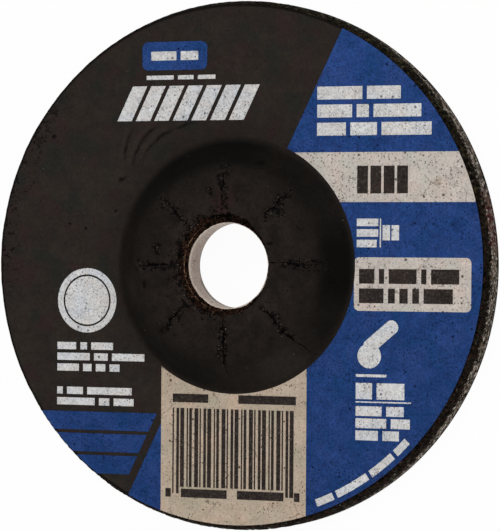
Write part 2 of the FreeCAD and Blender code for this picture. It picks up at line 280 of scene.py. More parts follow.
class Paint:
    """One procedural material; its coordinates are the shared frame's, in millimetres."""

    def __init__(self, name):
        self.material = bpy.data.materials.new(name)
        self.material.use_nodes = True
        self.tree = self.material.node_tree
        self.tree.nodes.clear()
        self.place = self.shade(self.node("TexCoord").outputs["Object"], 1.0 / MM)
        self.bumped = None

    def finish(self, colour, roughness, specular, metallic=0.0):
        shader = self.node("BsdfPrincipled", {
            "Base Color": colour, "Roughness": roughness, "Specular IOR Level": specular, "Metallic": metallic,
            "Normal": self.bumped})
        self.node("OutputMaterial", {0: shader.outputs[0]})
        return self.material

    def node(self, kind, inputs=(), **settings):
        return add_node(self.tree, kind, inputs, **settings)

    def calc(self, operation, a, b=None):
        return self.node("Math", {0: a, 1: b}, operation=operation).outputs[0]

    def chain(self, operation, first, *rest):
        for value in rest:
            first = self.calc(operation, first, value)
        return first

    def both(self, *masks):
        return self.chain("MULTIPLY", *masks)

    def either(self, *masks):
        return self.chain("MAXIMUM", *masks)

    def sum(self, a, b):
        return self.calc("ADD", a, b)

    def less(self, a, b):
        return self.calc("SUBTRACT", a, b)

    def vector(self, operation, a, b):
        return self.node("VectorMath", {0: a, 1: b}, operation=operation).outputs[0]

    def split(self, vector):
        return self.node("SeparateXYZ", {0: vector}).outputs

    def colour_parts(self, colour):
        return self.node("SeparateColor", {0: colour}).outputs

    def length(self, x, y):
        return self.calc("SQRT", self.sum(self.both(x, x), self.both(y, y)))

    def radial(self):
        """x, y, z and the distance from the axis."""
        x, y, z = self.split(self.place)
        return x, y, z, self.length(x, y)

    def along(self, x, y, direction):
        """How far a place lies towards a direction in degrees."""
        turn = math.radians(direction)
        return self.sum(self.both(x, math.cos(turn)), self.both(y, math.sin(turn)))

    def fit(self, value, low, high, to_low=0.0, to_high=1.0, smooth_ends=False):
        return self.node("MapRange", {0: value, 1: low, 2: high, 3: to_low, 4: to_high},
                         interpolation_type="SMOOTHSTEP" if smooth_ends else "LINEAR").outputs[0]

    def band(self, value, middle, inner, outer, smooth_ends=False):
        """Mask of the values near the middle one."""
        return self.fit(self.calc("ABSOLUTE", self.less(value, middle)), inner, outer, 1.0, 0.0, smooth_ends)

    def sector(self, middle, half, soft):
        """Mask of the directions from the axis within half degrees of the middle one."""
        x, y, _, radius = self.radial()
        return self.fit(self.calc("DIVIDE", self.along(x, y, middle), radius),
                        math.cos(math.radians(half + soft)), math.cos(math.radians(half)))

    def noise(self, size, detail=2.0, rough=0.5, vector=None):
        return self.node("TexNoise", {"Vector": vector or self.place, "Scale": 1.0 / size, "Detail": detail,
                                      "Roughness": rough}).outputs["Fac"]

    def blotch(self, size, detail, rough, low, high, to_low=0.0, to_high=1.0):
        """Mask of uneven patches: noise of that size, cut between low and high."""
        return self.fit(self.noise(size, detail, rough), low, high, to_low, to_high)

    def cells(self, size, vector, feature="F1", flat=False):
        return self.node("TexVoronoi", {"Vector": vector, "Scale": 1.0 / size, "Randomness": 1.0},
                         feature=feature, voronoi_dimensions="2D" if flat else "3D")

    def shifted(self, amount, size):
        """Coordinates pushed about by noise."""
        wobble = self.node("TexNoise", {"Vector": self.place, "Scale": 1.0 / size, "Detail": 2.0}).outputs["Color"]
        centred = self.vector("SUBTRACT", wobble, (0.5, 0.5, 0.5))
        return self.vector("ADD", self.place, self.shade(centred, amount))

    def mix(self, share, a, b):
        """Colour a, with a share of colour b; they are the node's inputs 6 and 7."""
        return self.node("Mix", {0: share, 6: a, 7: b}, data_type="RGBA", clamp_factor=True).outputs[2]

    def layered(self, colour, *layers):
        """The colour under layers, each a tone and the masks that it shows through."""
        for tone, *masks in layers:
            colour = self.mix(self.both(*masks), colour, tone)
        return colour

    def shade(self, colour, factor):
        """The colour times a number that varies over the surface."""
        return self.node("VectorMath", {0: colour, "Scale": factor}, operation="SCALE").outputs[0]

    def grained(self, colour, *grains):
        """The colour, by turns a little lighter and darker, for each size and amount of grain."""
        for size, amount in grains:
            colour = self.shade(colour, self.blotch(size, 3.0, 0.65, 0.32, 0.68, 1.0 - amount, 1.0 + amount))
        return colour

    def bump(self, height, depth, strength):
        """Adds relief; the depth is in millimetres."""
        self.bumped = self.node("Bump", {"Strength": strength, "Distance": depth * MM, "Height": height,
                                         "Normal": self.bumped}).outputs[0]


def grit_under_paper(paint):
    """Relief of the coarse grit that the paper is pressed on."""
    paint.bump(paint.noise(1.1, 3.0, 0.55), 0.05, 0.6)
    lumps = paint.cells(1.7, paint.shifted(0.8, 2.0)).outputs["Distance"]
    paint.bump(paint.fit(lumps, 0.0, 0.5, 1.0, 0.0, True), 0.035, 0.7)


def specks(paint, size, reach, share, seed, soft=0.1, flat=True):
    """Mask of small ragged dots, one in some of the cells."""
    moved = paint.vector("ADD", paint.shifted(reach * 0.9, reach * 1.3), (seed, seed * 1.7, 0.0))
    cell = paint.cells(size, moved, flat=flat)
    chance = paint.colour_parts(cell.outputs["Color"])[0]
    radius = paint.fit(chance, 1.0 - share, 1.0, 0.35 * reach / size, reach / size)
    radius = paint.both(radius, paint.calc("GREATER_THAN", chance, 1.0 - share))
    return paint.fit(paint.less(radius, cell.outputs["Distance"]), 0.0, soft * reach / size + 0.01, 0.0, 1.0, True)


def hairs(paint, size, seed, share):
    """Mask of a few fine curved scratches."""
    moved = paint.vector("ADD", paint.shifted(size * 0.8, size * 0.4), (seed, seed * 0.3, 0.0))
    edge = paint.cells(size, moved, "DISTANCE_TO_EDGE", flat=True).outputs["Distance"]
    some = paint.fit(paint.noise(size * 0.9, 1.0, vector=moved), 1.0 - share, 1.04 - share)
    return paint.both(paint.fit(edge, 0.0, 0.13 / size, 1.0, 0.0, True), some)


def crease(paint, centre, bend, middle, half, width, offset=0.0):
    """Mask of a soft line along an arc, given by the arc's centre, radius and span in degrees."""
    x, y, _ = paint.split(paint.vector("ADD", paint.shifted(0.9, 2.2), (-centre[0], -centre[1], 0.0)))
    limit = bend * math.sin(math.radians(half))
    return paint.both(paint.band(paint.length(x, y), bend + offset, 0.0, width, True),
                      paint.band(paint.along(x, y, middle + 90.0), 0.0, limit - 1.5, limit + 0.6, True),
                      paint.fit(paint.along(x, y, middle), 0.0, 1.0))


def near_cracks(paint, radius):
    """Mask that rises towards the eight cracks of the hub."""
    turns = [slit.angle + math.degrees(math.atan2(*slit.path[2][::-1])) for slit in SLITS]
    near = paint.either(*(paint.sector(turn, 1.0, 5.0) for turn in turns))
    near = paint.sum(near, paint.blotch(1.1, 3.0, 0.65, 0.25, 0.75, -0.5, 0.5))
    return paint.both(paint.fit(near, 0.15, 1.0, 0.0, 1.0, True), paint.fit(radius, 9.6, 11.2),
                      paint.fit(radius, 21.0, 16.5))


def spots(paint, marks):
    """Mask of small ragged marks, each given by its centre and half sizes."""
    x, y, _ = paint.split(paint.shifted(1.1, 0.9))
    found = []
    for middle_x, middle_y, half_x, half_y in marks:
        off_x = paint.calc("DIVIDE", paint.less(x, middle_x), half_x)
        off_y = paint.calc("DIVIDE", paint.less(y, middle_y), half_y)
        away = paint.sum(paint.both(off_x, off_x), paint.both(off_y, off_y))
        found.append(paint.fit(away, 0.3, 1.1, 1.0, 0.0))
    return paint.either(*found)


def black_paper():
    """Black print: patchy on the face and darker on the hub's flat, with painted shade round the hub's foot and
    over its slope, and a painted highlight on one side of the slope.
    """
    paint = Paint("black_paper")
    x, y, _, radius = paint.radial()
    base = seen(39, 33, 30)
    colour = base
    for index, tone in enumerate((seen(43, 33, 32), seen(34, 34, 31), seen(42, 37, 32))):
        patch = paint.noise(6.0 - index, 2.0, 0.5, paint.shifted(3.0, 9.0 - 2.0 * index))
        colour = paint.mix(paint.fit(patch, 0.46, 0.64, 0.0, 0.9), colour, tone)
    flat_tone = paint.mix(paint.blotch(2.8, 4.0, 0.65, 0.38, 0.62), seen(36, 31, 28), seen(26, 22, 19))
    flat_tone = paint.mix(paint.fit(radius, 12.0, 18.0, 0.0, 0.6), flat_tone, seen(24, 20, 17))
    slope = paint.both(paint.fit(radius, 17.0, 20.2, 0.0, 1.0, True),
                       paint.fit(radius, 22.8, 24.6, 1.0, 0.0, True))
    # Painted shade on the sides of the hub's slope that face away from the lamps
    soot_and_shade = paint.either(paint.sector(0.0, 10.0, 16.0), paint.sector(104.0, 20.0, 20.0),
                         paint.both(paint.sector(238.0, 12.0, 14.0), 0.5))
    # The slope painted dark as shade, darker still on those sides, with a painted highlight near 300 degrees
    slope_shade_and_sheen = paint.layered(
        paint.mix(paint.blotch(9.0, 2.0, 0.5, 0.35, 0.65), seen(15, 13, 11), seen(23, 19, 16)),
        (seen(6, 6, 5), soot_and_shade, 0.9),
        (seen(31, 27, 23), paint.sector(300.0, 5.0, 10.0), 0.8))
    colour = paint.layered(
        colour,
        # painted shade: the face darker round the hub's foot
        (scaled_colour(base, 0.6), paint.fit(radius, 23.0, 30.0, 0.4, 0.0)),
        (flat_tone, paint.fit(radius, HUB_FOOT_RADIUS - 0.3, HUB_FOOT_RADIUS + 1.1, 1.0, 0.0, True)),
        (slope_shade_and_sheen, slope, 0.95))
    colour = paint.grained(colour, (1.6, 0.1), (0.6, 0.15), (0.3, 0.1))
    # Crumbs, chips and glints by the cracks and the bore, and marks all over
    near_bore = paint.both(paint.fit(radius, 12.6, 9.8), paint.sector(165.0, 75.0, 25.0))
    crumbled = paint.either(near_cracks(paint, radius), near_bore, spots(paint, PATCHES))
    crumbs = paint.sum(paint.noise(0.8, 4.0, 0.75), paint.both(crumbled, 0.14))
    blots = paint.both(paint.fit(crumbs, 0.62, 0.645), paint.fit(radius, 22.0, 18.5))
    marks = paint.either(paint.both(specks(paint, 2.6, 0.28, 0.3, 4.0, 0.5), 0.5), spots(paint, CHIPS))
    colour = paint.layered(
        colour,
        (seen(42, 28, 24), near_bore, paint.blotch(1.0, 3.0, 0.6, 0.45, 0.6, 0.0, 0.6)),
        (seen(48, 30, 33), paint.sector(94.0, 5.0, 9.0), paint.fit(radius, 15.5, 12.0),
         paint.blotch(1.2, 3.0, 0.5, 0.4, 0.6), 0.7),
        (seen(54, 45, 38), paint.blotch(0.5, 3.0, 0.7, 0.56, 0.62), crumbled, 0.5),
        (seen(5, 4, 4), blots, 0.95),
        (seen(94, 88, 77), specks(paint, 0.7, 0.12, 0.42, 5.0), paint.fit(crumbled, 0.3, 0.8), 0.65),
        (seen(9, 7, 6), marks, 0.9),
        (seen(110, 102, 90), specks(paint, 4.4, 0.14, 0.14, 9.0), 0.5),
        (seen(16, 13, 11), hairs(paint, 6.0, 3.0, 0.36), 0.4))
    # The paper's edge, chipped at the left
    outer = paint.length(paint.less(x, LABEL_CENTRE[0]), paint.less(y, LABEL_CENTRE[1]))
    chipped = paint.sum(paint.noise(1.1, 4.0, 0.75), paint.fit(outer, 44.5, 48.8, -0.04, 0.08))
    chipped = paint.both(paint.fit(chipped, 0.59, 0.62), paint.sector(161.0, 17.0, 12.0),
                         paint.fit(outer, 43.0, 44.5))
    colour = paint.layered(colour, (seen(11, 9, 8), paint.either(chipped, paint.fit(outer, 48.5, 48.8)), 0.85))
    # Creases, each a broken dark line of painted shade with a paler line of painted highlight beside it, the dark
    # line also pressed in as relief
    broken = paint.blotch(1.3, 3.0, 0.6, 0.36, 0.6, 0.4, 0.9)
    for arc in CREASES:
        line = paint.both(crease(paint, *arc, 0.55), broken)
        colour = paint.layered(colour, (seen(52, 45, 41), crease(paint, *arc, 0.7, 0.9), 0.3),
                               (seen(12, 10, 8), line))
        paint.bump(line, 0.05, -0.4)
    grit_under_paper(paint)
    paint.bump(paint.either(blots, marks), 0.08, -0.8)
    paint.bump(paint.noise(0.16, 3.0, 0.6), 0.012, 0.6)
    roughness = paint.less(paint.blotch(0.9, 3.0, 0.6, 0.3, 0.7, 0.5, 0.7), paint.both(slope, 0.12))
    return paint.finish(colour, roughness, 0.02)


def ink(name, colour, mottle, tints, dot_colour, dots, dot_size, dot_reach, dot_share, blot_share,
        scratches=0.6, worn=0.0, grain=0.12, spot=None, painted_falloff=None):
    """Ink on the same paper: mottled, with specks where grit shows and a few scratches."""
    paint = Paint(name)
    tone = paint.mix(paint.blotch(3.5, 4.0, 0.65, 0.38, 0.66), colour, mottle)
    for index, tint in enumerate(tints):
        patch = paint.noise(4.0 + index, 3.0, 0.65, paint.shifted(4.0, 5.0 + 2.5 * index))
        tone = paint.mix(paint.fit(patch, 0.5, 0.66, 0.0, 0.85), tone, tint)
    # Painted light: the tone lighter towards +y and darker towards -y, as light falling off
    if painted_falloff:
        tone = paint.shade(tone, paint.fit(paint.split(paint.place)[1], *painted_falloff))
    if spot:
        spot_x, spot_y, reach, spot_tone = spot
        x, y, _ = paint.split(paint.shifted(0.8, 1.5))
        away = paint.length(paint.less(x, spot_x), paint.less(y, spot_y))
        tone = paint.mix(paint.fit(away, 0.3, reach, 0.5, 0.0, True), tone, spot_tone)
    tone = paint.grained(tone, (1.3, grain * 0.7), (0.5, grain), (0.26, grain))
    crowd = paint.blotch(6.0, 3.0, 0.5, 0.38, 0.6, 0.25, 1.0)
    fine = paint.both(crowd, paint.either(specks(paint, dot_size, dot_reach, dot_share, 2.0),
                                          specks(paint, dot_size * 1.43, dot_reach * 1.15, dot_share, 17.0)))
    coarse = specks(paint, dot_size * 2.6, dot_reach * 1.7, blot_share, 6.0)
    scratch = hairs(paint, 4.2, 5.0, 0.46)
    tone = paint.layered(
        tone,
        (scaled_colour(colour, 1.3), specks(paint, dot_size * 1.2, dot_reach * 1.1, 0.5, 11.0, 0.6), 0.6),
        (scaled_colour(mottle, 0.55), specks(paint, dot_size * 2.6, dot_reach * 3.0, blot_share, 6.0, 0.9), 0.4),
        (dot_colour, fine, dots),
        (scaled_colour(dot_colour, 0.7), coarse, dots),
        (dot_colour, scratch, scratches))
    if worn:
        tone = paint.mix(paint.blotch(0.35, 3.0, 0.7, 0.54, 0.68, 0.0, worn), tone, dot_colour)
    grit_under_paper(paint)
    paint.bump(paint.either(fine, coarse), 0.05, -0.7)
    paint.bump(scratch, 0.03, -0.5)
    paint.bump(paint.noise(0.16, 3.0, 0.6), 0.012, 0.5)
    return paint.finish(tone, paint.blotch(0.9, 3.0, 0.6, 0.3, 0.7, 0.5, 0.7), 0.04)


def abrasive():
    """Resin-bonded grit: black where resin covers it, grey-brown grains elsewhere."""
    paint = Paint("resin_bonded_grit")
    x, _, z, radius = paint.radial()
    coarse = paint.cells(0.85, paint.shifted(0.3, 0.5))
    grain = paint.cells(0.45, paint.shifted(0.15, 0.3))
    big = paint.colour_parts(coarse.outputs["Color"])[0]
    pick, second, third = paint.colour_parts(grain.outputs["Color"])[:3]
    chance = paint.fit(paint.sum(paint.both(pick, 0.45), paint.both(big, 0.55)), 0.12, 0.88)
    resin = seen(24, 19, 16)
    tone = paint.layered(
        resin,
        (paint.mix(second, seen(98, 89, 81), seen(184, 173, 161)), paint.fit(chance, 0.3, 0.4)),
        (paint.mix(third, seen(98, 74, 60), seen(134, 110, 92)), paint.fit(chance, 0.66, 0.69)),
        (seen(206, 196, 182), paint.fit(chance, 0.78, 0.81)),
        (seen(96, 102, 82), paint.fit(chance, 0.88, 0.9)),
        (seen(84, 54, 46), paint.blotch(2.4, 3.0, 0.6, 0.55, 0.7, 0.0, 0.4)),
        (resin, paint.fit(grain.outputs["Distance"], 0.3, 0.62, 0.0, 0.7)),
        (resin, paint.blotch(1.3, 4.0, 0.75, 0.5, 0.62, 0.0, 0.75)),
        (seen(96, 38, 44), paint.sector(9.0, 2.0, 6.0), paint.blotch(0.9, 3.0, 0.65, 0.4, 0.6),
         paint.fit(radius, 48.8, 49.2), 0.5))
    # The wall's foot darkened as painted shade, and a thin dark line that the mould left above it
    line = paint.both(paint.band(z, 1.5, 0.15, 0.35), paint.sector(46.0, 16.0, 8.0), 0.7)
    foot = paint.fit(paint.sum(z, paint.blotch(1.2, 2.0, 0.5, 0.3, 0.7, -0.1, 0.1)), 0.45, 0.7, 1.0, 0.0)
    tone = paint.layered(tone, (seen(16, 13, 11), paint.either(line, foot), paint.fit(radius, 49.0, 49.4), 0.85))
    # Black on the moulded corner, with a few grains bared: resin-rich black at the top, reaching down the wall as
    # painted shade the more the wall turns from +X
    ahead = paint.calc("DIVIDE", x, radius)
    low = paint.sum(paint.fit(ahead, 0.5, 0.77, 0.8, 3.55), paint.fit(ahead, 0.77, 1.0, 0.0, 0.6))
    edge = paint.less(paint.sum(z, paint.blotch(1.0, 4.0, 0.7, 0.25, 0.75, -0.7, 0.7)), low)
    corner = paint.both(paint.fit(edge, -0.2, 0.25, 0.0, 1.0, True), paint.fit(radius, 30.0, 32.0))
    bared = paint.both(paint.fit(chance, 0.84, 0.87), paint.fit(z, 4.2, 4.9, 0.45, 0.12))
    black = paint.mix(paint.blotch(0.6, 3.0, 0.7, 0.44, 0.6), seen(7, 6, 5), seen(31, 26, 21))
    lump_tone = paint.mix(paint.sector(45.0, 28.0, 14.0), seen(50, 31, 27), seen(60, 54, 32))
    black = paint.mix(paint.blotch(0.9, 4.0, 0.75, 0.55, 0.61, 0.0, 0.7), black, lump_tone)
    # Brown crumbs round the bore, darker at the right, with a pale dotted line of painted highlight along the
    # crumbs' edge by the ring at the left
    soot_and_shade = paint.sum(paint.noise(1.3, 3.0, 0.65), paint.fit(radius, 8.8, 10.4, -0.06, 0.12))
    rust = paint.layered(
        paint.mix(paint.blotch(0.45, 3.0, 0.65, 0.44, 0.62), seen(11, 8, 7), seen(50, 31, 22)),
        (seen(9, 7, 6), paint.fit(soot_and_shade, 0.46, 0.56)),
        (seen(112, 98, 80), specks(paint, 0.6, 0.11, 0.35, 7.0), 0.7))
    rust = paint.layered(
        rust,
        (paint.shade(rust, 0.4), paint.sector(22.0, 60.0, 22.0)),
        (seen(130, 100, 76), paint.band(radius, 8.66, 0.03, 0.12), paint.sector(185.0, 40.0, 25.0),
         paint.blotch(0.7, 3.0, 0.7, 0.42, 0.56), 0.7))
    bore = paint.both(paint.fit(radius, 10.2, 11.4, 1.0, 0.0, True), paint.fit(z, 8.0, 8.4))
    # Black under the hub's paper
    hub = paint.both(paint.fit(radius, 10.2, 11.4), paint.fit(radius, 24.0, 22.0), paint.fit(z, 5.6, 5.7))
    bright = paint.both(paint.fit(third, 0.95, 0.97), 0.2)
    tone = paint.layered(tone, (black, corner, paint.less(1.0, bared)), (rust, bore),
                         (seen(7, 6, 6), hub, paint.less(1.0, bright)))
    paint.bump(grain.outputs["Distance"], 0.14, -0.9)
    paint.bump(coarse.outputs["Distance"], 0.2, -0.7)
    paint.bump(paint.noise(0.2, 3.0, 0.65), 0.05, 0.8)
    return paint.finish(tone, paint.fit(third, 0.0, 1.0, 0.65, 0.95), 0.01)


def steel():
    """Dull drawn steel, pitted, with a bright band of painted highlight under its lip, a stain at its top and
    painted shade at its foot.
    """
    paint = Paint("dull_steel")
    x, y, z = paint.split(paint.place)
    around = paint.both(paint.calc("ARCTAN2", y, x), 14.0)
    along = paint.node("CombineXYZ", {0: around, 1: paint.both(z, 2.2)}).outputs[0]
    drawn = paint.noise(1.0, 4.0, 0.6, along)
    pits = specks(paint, 1.0, 0.26, 0.6, 3.0, flat=False)
    # Painted shade at the sleeve's foot
    foot = paint.fit(paint.sum(z, paint.blotch(0.7, 3.0, 0.5, 0.3, 0.7, -0.12, 0.12)), 3.9, 4.25, 1.0, 0.0, True)
    tone = paint.layered(
        paint.mix(paint.fit(drawn, 0.35, 0.7), seen(150, 134, 122), seen(180, 166, 154)),
        (seen(138, 122, 112), paint.blotch(2.2, 3.0, 0.6, 0.48, 0.7, 0.0, 0.6)),
        (seen(142, 125, 115), paint.sector(180.0, 25.0, 30.0), paint.fit(z, 8.8, 7.2), 0.5),
        (seen(58, 46, 38), pits, 0.85),
        (seen(66, 56, 50), foot, 0.75),
        (seen(104, 84, 70), paint.fit(z, 8.3, 9.2), paint.blotch(0.5, 3.0, 0.65, 0.5, 0.62), 0.6),
        # painted highlight: a bright band under the lip
        (seen(204, 192, 178), paint.band(z, 8.85, 0.25, 0.5), paint.blotch(0.5, 3.0, 0.65, 0.36, 0.54), 0.75),
        (seen(72, 56, 46), specks(paint, 0.5, 0.16, 0.6, 8.0, flat=False), paint.fit(z, 7.6, 8.6),
         paint.sector(205.0, 25.0, 20.0), 0.8),
        (seen(60, 50, 44), paint.band(z, 4.65, 0.2, 0.4), paint.sector(226.0, 22.0, 8.0), 0.75))
    paint.bump(drawn, 0.01, 0.5)
    paint.bump(pits, 0.06, -0.8)
    paint.bump(paint.noise(0.25, 3.0, 0.6), 0.01, 0.6)
    return paint.finish(tone, paint.blotch(0.7, 3.0, 0.5, 0.3, 0.7, 0.42, 0.62), 0.5, 0.8)


GRIT = abrasive()
STEEL = steel()
BLACK = black_paper()
# Name, colour, mottle, tints, colour of the specks, then their strength, cell size, reach and share, and the
# share of large ones
INKS = {
    "print_blue": ink(
        "blue_ink", seen(36, 61, 114), seen(25, 52, 100), (seen(38, 60, 110), seen(23, 55, 102)),
        seen(13, 25, 58), 0.85, 0.7, 0.17, 0.8, 0.12, scratches=0.4, grain=0.2, painted_falloff=(-45.0, 40.0, 0.93, 1.16)),
    "print_grey": ink(
        "pale_grey_ink", seen(190, 181, 173), seen(177, 169, 162), (seen(191, 175, 165), seen(180, 178, 169)),
        seen(86, 78, 72), 0.85, 0.7, 0.17, 0.62, 0.3, scratches=0.75, grain=0.11,
        spot=(40.2, 15.3, 1.4, seen(150, 128, 106))),
    "print_cream": ink(
        "cream_ink", seen(176, 161, 144), seen(166, 150, 132), (seen(181, 160, 141), seen(161, 152, 133)),
        seen(64, 54, 46), 0.85, 0.9, 0.16, 0.65, 0.26, grain=0.1),
    "print_white": ink(
        "white_ink", seen(204, 204, 204), seen(190, 188, 186), (seen(200, 194, 188), seen(192, 195, 200)),
        seen(84, 86, 96), 0.8, 0.85, 0.17, 0.7, 0.2, worn=0.6),
    "print_dark": ink(
        "dark_ink", seen(34, 29, 28), seen(42, 36, 33), (seen(46, 38, 34),),
        seen(104, 96, 88), 0.6, 0.9, 0.14, 0.5, 0.2, scratches=0.2, worn=0.35, grain=0.2),
}


# ------------------------ abrasive body

def body_rings():
    """Rings round the section, from the bore's foot outward and back over the top."""
    rings = []

    def run(points, count):
        for r, z in points:
            rings.append(circle(r, z, count))

    def flat_run(radii, count):
        run([(r, BODY_HUB) for r in radii], count)

    run([(RING_RADIUS, FLANGE_TOP), (FLANGE_RADIUS, FLANGE_TOP)], COARSE)
    run(rounded_profile([
        (FLANGE_RADIUS, RECESS_FLOOR, 0),
        (RECESS_FLOOR_RADIUS, RECESS_FLOOR, 1.2),
        (RECESS_MOUTH_RADIUS, 0, 1.2),
        (WHEEL_RADIUS - 0.6, 0, 0)], step=1.1), COARSE)
    run([(WHEEL_RADIUS - 0.3, 0.0)], MEDIUM)
    run(rounded_profile([
        (WHEEL_RADIUS - 0.03, 0.0, 0),
        (WHEEL_RADIUS, 0.04, 0),
        (WHEEL_RADIUS, BODY_FACE - 1.5, 4.0),
        (FACE_RADIUS + 0.12, BODY_FACE - 0.16, 0),
        (FACE_RADIUS - 0.1, BODY_FACE, 0),
        (FACE_RADIUS - 0.5, BODY_FACE, 0)], step=0.34), FINE)
    run([(48.2, BODY_FACE)], MEDIUM)
    run([(46.0, BODY_FACE), (36.0, BODY_FACE), (26.0, BODY_FACE)], COARSE)
    run([(r, float(body_height(r))) for r in np.arange(24.6, 17.4, -0.6)], COARSE)
    flat_run(np.arange(17.0, 10.7, -0.42), COARSE)
    flat_run(np.arange(10.6, BORE_RADIUS + 0.35, -0.22), MEDIUM)
    run([(BORE_RADIUS + 0.22, BODY_HUB), (BORE_RADIUS + 0.12, BODY_HUB - 0.12),
         (BORE_RADIUS + 0.14, RING_TOP + 0.16), (BORE_RADIUS + 0.3, RING_TOP + 0.02),
         (RING_RADIUS, RING_TOP - 0.1)], MEDIUM)
    run([(RING_RADIUS, 7.0), (RING_RADIUS, FLANGE_TOP)], COARSE)
    return rings


def slit_centre(index, radius):
    """Sideways wander of a crack from its own angle."""
    path = np.array(SLITS[index].path)
    wander = np.interp(radius, path[:, 0], path[:, 1]) + noise1(radius, 0.8, 120 + index) * 0.22
    wander += noise1(radius, 0.35, 140 + index) * 0.16
    return wander * smooth((radius - LABEL_HOLE_RADIUS) / 1.5) * smooth((26.0 - radius) / 3.0)


def slit_half(index, radius, side):
    """Half width of a crack, to one side of its centre."""
    slit = SLITS[index]
    closing = smooth((slit.end - radius) / 2.4)
    shape = smooth((radius - slit.start + 0.6) / 1.6) * closing
    seed = 2 * index + side
    ragged = 0.26 + 1.0 * noise1(radius, 0.9, 160 + seed) + 0.8 * noise1(radius, 0.36, 190 + seed)
    half = slit.widest * shape * np.clip(ragged, 0.0, 1.6)
    return np.where(radius < slit.end, np.maximum(half, 0.02 * closing), 0.0)


def rim_roughness(turn):
    """How rough the moulded corner is, from 0 to 1, by direction in degrees."""
    return np.interp(np.asarray(turn) % 360.0, (0, 75, 100, 165, 195, 250, 285, 360),
                     (1.0, 1.0, 0.1, 0.1, 0.5, 0.5, 1.0, 1.0))


def paper_reach(turn):
    """How much nearer to the bore the paper's inner edge comes, by direction in degrees."""
    return np.interp(np.asarray(turn) % 360.0, (0, 45, 75, 105, 240, 290, 325, 360),
                     (0.85, 0.8, 0.2, -0.15, -0.1, 0.1, 0.75, 0.85))


def displaced_body(rings):
    """The rings' points, roughened as grit: the wall and its corner, then the faces, and last the bore's lip."""
    points = np.concatenate(rings)
    radius = np.hypot(points[:, 0], points[:, 1])
    z = points[:, 2]
    outward = points[:, :2] / np.maximum(radius, 1e-9)[:, None]
    fine = noise(points, 0.55, 1)
    grain = noise(points, 1.1, 2)
    broad = noise(points, 4.0, 3)
    turn = np.degrees(np.arctan2(outward[:, 1], outward[:, 0]))
    rough = rim_roughness(turn)
    on_side = smooth((radius - 49.3) / 0.3)
    wall = on_side * (0.05 + 0.95 * smooth((z - 0.3) / 0.7)) * (0.3 + 0.7 * rough)
    corner = on_side * smooth((z - 4.0) / 0.6) * rough
    inward = wall * (0.07 + 0.11 * fine + 0.07 * grain + 0.015 * broad)
    inward += corner * (0.05 + 0.1 * fine + 0.12 * grain)
    points[:, :2] -= outward * np.clip(inward, 0.0, 0.45)[:, None]
    top = smooth((radius - 48.75) / 0.2) * smooth((z - 5.2) / 0.4)
    points[:, 2] -= top * np.clip(0.05 + rough * (0.07 + 0.12 * fine + 0.12 * grain), 0.0, 0.4)
    face = smooth((radius - 24.9) / 0.8) * smooth((0.3 - z) / 0.25) * smooth((49.6 - radius) / 0.4)
    points[:, 2] += face * np.clip(0.07 + 0.06 * fine + 0.05 * grain, 0.0, 0.25)
    under = smooth((radius - 12.3) / 0.6) * smooth((24.9 - radius) / 0.5) * smooth((4.0 - z) / 0.1)
    points[:, 2] += under * (0.03 * fine + 0.03 * grain)
    hub = smooth((z - 9.2) / 0.3) * smooth((18.0 - radius) / 1.0)
    points[:, 2] += hub * (0.06 * fine + 0.04 * grain - 0.02)
    bare = 1.0 - 0.85 * np.clip(paper_reach(turn), 0.0, 1.0)
    crumb = hub * smooth((LABEL_HOLE_RADIUS + 1.2 - radius) / 0.8) * bare
    points[:, 2] += crumb * (0.02 + 0.13 * noise(points, 0.4, 7) + 0.1 * noise(points, 0.9, 8))
    lip = smooth((z - RING_TOP + 0.05) / 0.1) * smooth((9.3 - radius) / 1.2)
    around = np.stack([outward[:, 0] * 8, outward[:, 1] * 8, z * 0.4], 1)
    push = 0.08 * noise(around, 1.6, 9) + 0.08 * noise(around, 0.6, 10) + 0.05 * noise(around, 0.3, 11)
    points[:, :2] += lip[:, None] * (outward * push[:, None] + np.array(BORE_SHIFT))
    points[:, 2] = np.minimum(points[:, 2], BODY_HUB + PAPER)
    return points


def grains(centres, sizes, seed):
    """Irregular little stones, as points and triangles."""
    rng = np.random.default_rng(seed)
    g = (1 + math.sqrt(5)) / 2
    ico = np.array([
        (-1, g, 0), (1, g, 0), (-1, -g, 0), (1, -g, 0), (0, -1, g), (0, 1, g), (0, -1, -g), (0, 1, -g),
        (g, 0, -1), (g, 0, 1), (-g, 0, -1), (-g, 0, 1)]) / math.hypot(1, g)
    sides = np.array([
        (0, 11, 5), (0, 5, 1), (0, 1, 7), (0, 7, 10), (0, 10, 11), (1, 5, 9), (5, 11, 4), (11, 10, 2),
        (10, 7, 6), (7, 1, 8), (3, 9, 4), (3, 4, 2), (3, 2, 6), (3, 6, 8), (3, 8, 9), (4, 9, 5),
        (2, 4, 11), (6, 2, 10), (8, 6, 7), (9, 8, 1)])
    count = len(centres)
    stretch = rng.uniform(0.65, 1.25, (count, 1, 3))
    shape = ico[None] * stretch * rng.uniform(0.75, 1.2, (count, len(ico), 1))
    turn, _ = np.linalg.qr(rng.normal(size=(count, 3, 3)))
    turn *= np.sign(np.linalg.det(turn))[:, None, None]
    shape = np.einsum("nij,nkj->nki", turn, shape) * sizes[:, None, None]
    points = (centres[:, None] + shape).reshape(-1, 3)
    points[:, 2] = np.clip(points[:, 2], 0.0, BODY_HUB + PAPER)
    faces = (np.arange(count)[:, None, None] * len(ico) + sides[None]).reshape(-1, 3)
    return points, faces


